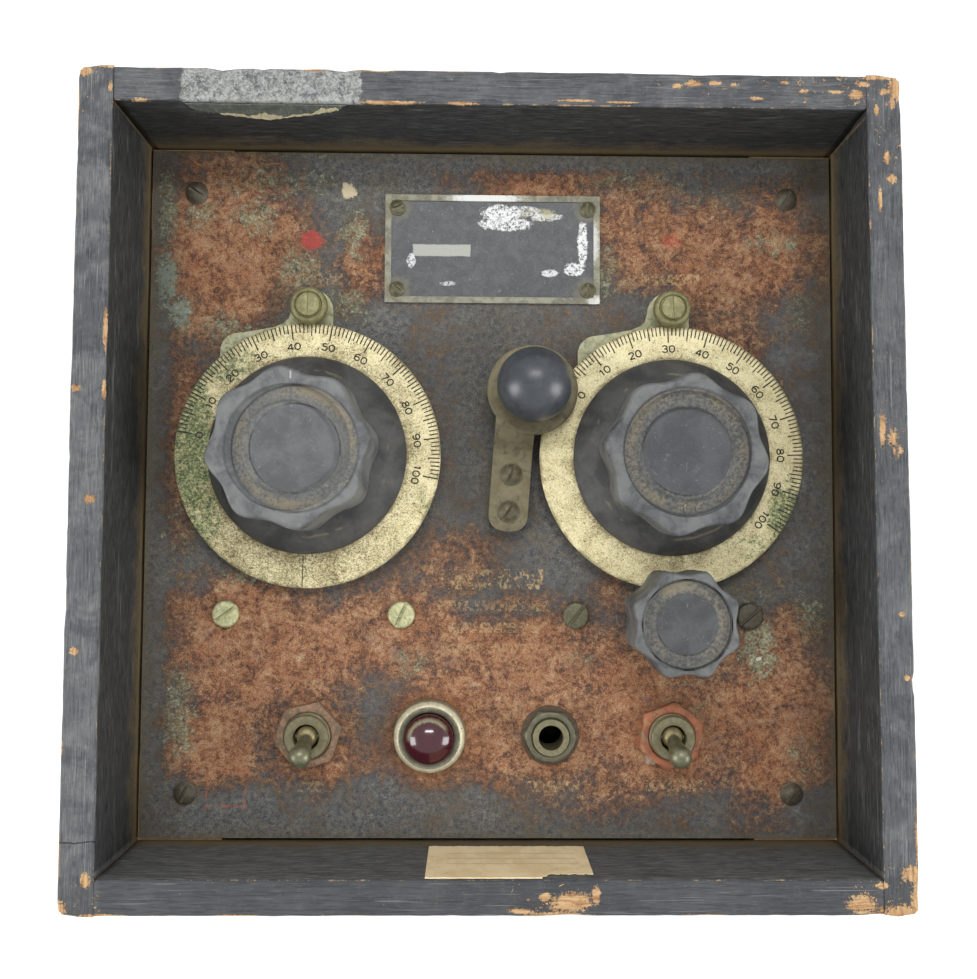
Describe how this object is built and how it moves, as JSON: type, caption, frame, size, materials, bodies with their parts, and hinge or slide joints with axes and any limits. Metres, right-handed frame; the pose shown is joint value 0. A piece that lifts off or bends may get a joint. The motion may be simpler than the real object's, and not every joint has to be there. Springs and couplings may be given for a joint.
{
  "type": "battery radio set in a wooden case",
  "caption": "Square open-fronted wooden case with a recessed rusty panel: graduated tuning dials, vernier drive knob, press key, toggle switches, ruby pilot lamp and phone jack.",
  "frame": {"origin": "middle of the flat back of the case, on the surface it lies on", "axes": "+X to the right of the panel, +Y up the panel, +Z out of the open front, normal to the panel"},
  "size_m": [0.2032, 0.2032, 0.1524],
  "materials": {
    "case_wood": "old dark grey-green paint, worn and dusty, over softwood",
    "back_wood": "old dark paint over softwood",
    "post_wood": "bare softwood",
    "aged_brass": "dull, tarnished",
    "label_paper": "yellowed, stained",
    "rusty_panel": "black wrinkle paint, mostly lost to brown rust",
    "dull_steel": "dull, lightly rusted",
    "chassis_metal": "plain sheet",
    "plate_enamel": "black enamel field with a bare raised border, chipped",
    "verdigris_brass": "tarnished, green bloom",
    "dial_face": "cream lacquered metal, pitted, with black engraved graduations",
    "bakelite": "black phenolic, dull with dust",
    "plain_steel": "plain ground steel",
    "capacitor_metal": "plain sheet",
    "black_fibre": "black fibre",
    "leaf_brass": "dull olive-brown tarnish",
    "ball_plastic": "black phenolic, satin gloss",
    "bushing_nickel": "aged nickel plate, yellowed",
    "lever_nickel": "aged nickel plate, green in places",
    "rusty_nut": "rust brown",
    "bezel_nickel": "aged nickel plate, pitted",
    "ruby_jewel": "dark ruby, polished",
    "bulb_glass": "clear",
    "jack_nut_nickel": "dull plated",
    "brown_phenolic": "brown phenolic sheet",
    "coil_copper": "enamelled copper winding on a phenolic tube",
    "transformer_iron": "black varnished laminations",
    "component_body": "waxed tubular component",
    "battery_card": "plain card jacket",
    "wire_cloth": "cloth-covered wire"
  },
  "bodies": {
    "case": {"case_side_left": "case_wood", "case_side_right": "case_wood", "case_top_board": "case_wood", "case_bottom_board": "case_wood", "case_back_board": "back_wood", "corner_posts": "post_wood", "case_screws": "aged_brass", "paper_label": "label_paper", "front_panel": "rusty_panel", "panel_screws": "dull_steel", "chassis_shelf": "chassis_metal", "chassis_screws": "aged_brass", "nameplate": "plate_enamel", "nameplate_screws": "aged_brass", "index_plates": "verdigris_brass", "index_studs": "verdigris_brass", "left_capacitor_frame": "capacitor_metal", "left_stator_plates": "capacitor_metal", "right_capacitor_frame": "capacitor_metal", "right_stator_plates": "capacitor_metal", "vernier_bushing": "aged_brass", "key_base_block": "black_fibre", "key_leaf_root": "leaf_brass", "key_screws": "aged_brass", "key_contact_post": "aged_brass", "power_switch_body": "bushing_nickel", "band_switch_body": "bushing_nickel", "switch_nuts": "rusty_nut", "lamp_bezel": "bezel_nickel", "lamp_jewel": "ruby_jewel", "lamp_socket": "aged_brass", "lamp_bulb": "bulb_glass", "phone_jack_body": "bushing_nickel", "phone_jack_nut": "jack_nut_nickel", "phone_jack_springs": "aged_brass", "vacuum_tubes": "bulb_glass", "tube_sockets": "brown_phenolic", "coil_formers": "coil_copper", "audio_transformer": "transformer_iron", "terminal_strip": "brown_phenolic", "resistors_capacitors": "component_body", "batteries": "battery_card", "battery_clamps": "chassis_metal", "hookup_wires": "wire_cloth"},
    "left_dial": {"left_dial_ring": "dial_face", "left_tuning_knob": "bakelite", "left_tuning_shaft": "plain_steel", "left_rotor_plates": "capacitor_metal", "left_set_screw": "plain_steel"},
    "right_dial": {"right_dial_ring": "dial_face", "right_tuning_knob": "bakelite", "right_tuning_shaft": "plain_steel", "right_rotor_plates": "capacitor_metal", "right_set_screw": "plain_steel"},
    "vernier": {"vernier_knob": "bakelite", "vernier_shaft": "plain_steel"},
    "key_arm": {"key_leaf_arm": "leaf_brass", "key_ball": "ball_plastic"},
    "power_lever": {"power_toggle_lever": "lever_nickel"},
    "band_lever": {"band_toggle_lever": "lever_nickel"}
  },
  "joints": [
    {"name": "left_dial_turn", "type": "hinge", "parent": "case", "child": "left_dial", "pos_m": [-0.0484, 0.0088, 0.1287], "axis": [0, 0, 1], "range_deg": [-79.92, 100.08]},
    {"name": "right_dial_turn", "type": "hinge", "parent": "case", "child": "right_dial", "pos_m": [0.0475, 0.0088, 0.1287], "axis": [0, 0, 1], "range_deg": [-55.44, 124.56]},
    {"name": "vernier_turn", "type": "hinge", "parent": "case", "child": "vernier", "pos_m": [0.0475, -0.0336, 0.1287], "axis": [0, 0, 1], "range_deg": [-511.2, 227.8]},
    {"name": "key_press", "type": "hinge", "parent": "case", "child": "key_arm", "pos_m": [0.0058, 0.007, 0.1282], "axis": [-1, 0, 0], "range_deg": [0, 5], "stiffness_Nm_per_rad": 0.64},
    {"name": "power_toggle", "type": "hinge", "parent": "case", "child": "power_lever", "pos_m": [-0.0479, -0.0648, 0.1257], "axis": [-1, 0, 0], "range_deg": [0, 30]},
    {"name": "band_toggle", "type": "hinge", "parent": "case", "child": "band_lever", "pos_m": [0.0479, -0.0648, 0.1257], "axis": [-1, 0, 0], "range_deg": [0, 30]}
  ],
  "couplings": [
    {"joint": "vernier_turn", "follows": "right_dial_turn", "ratio": -4.1}
  ]
}
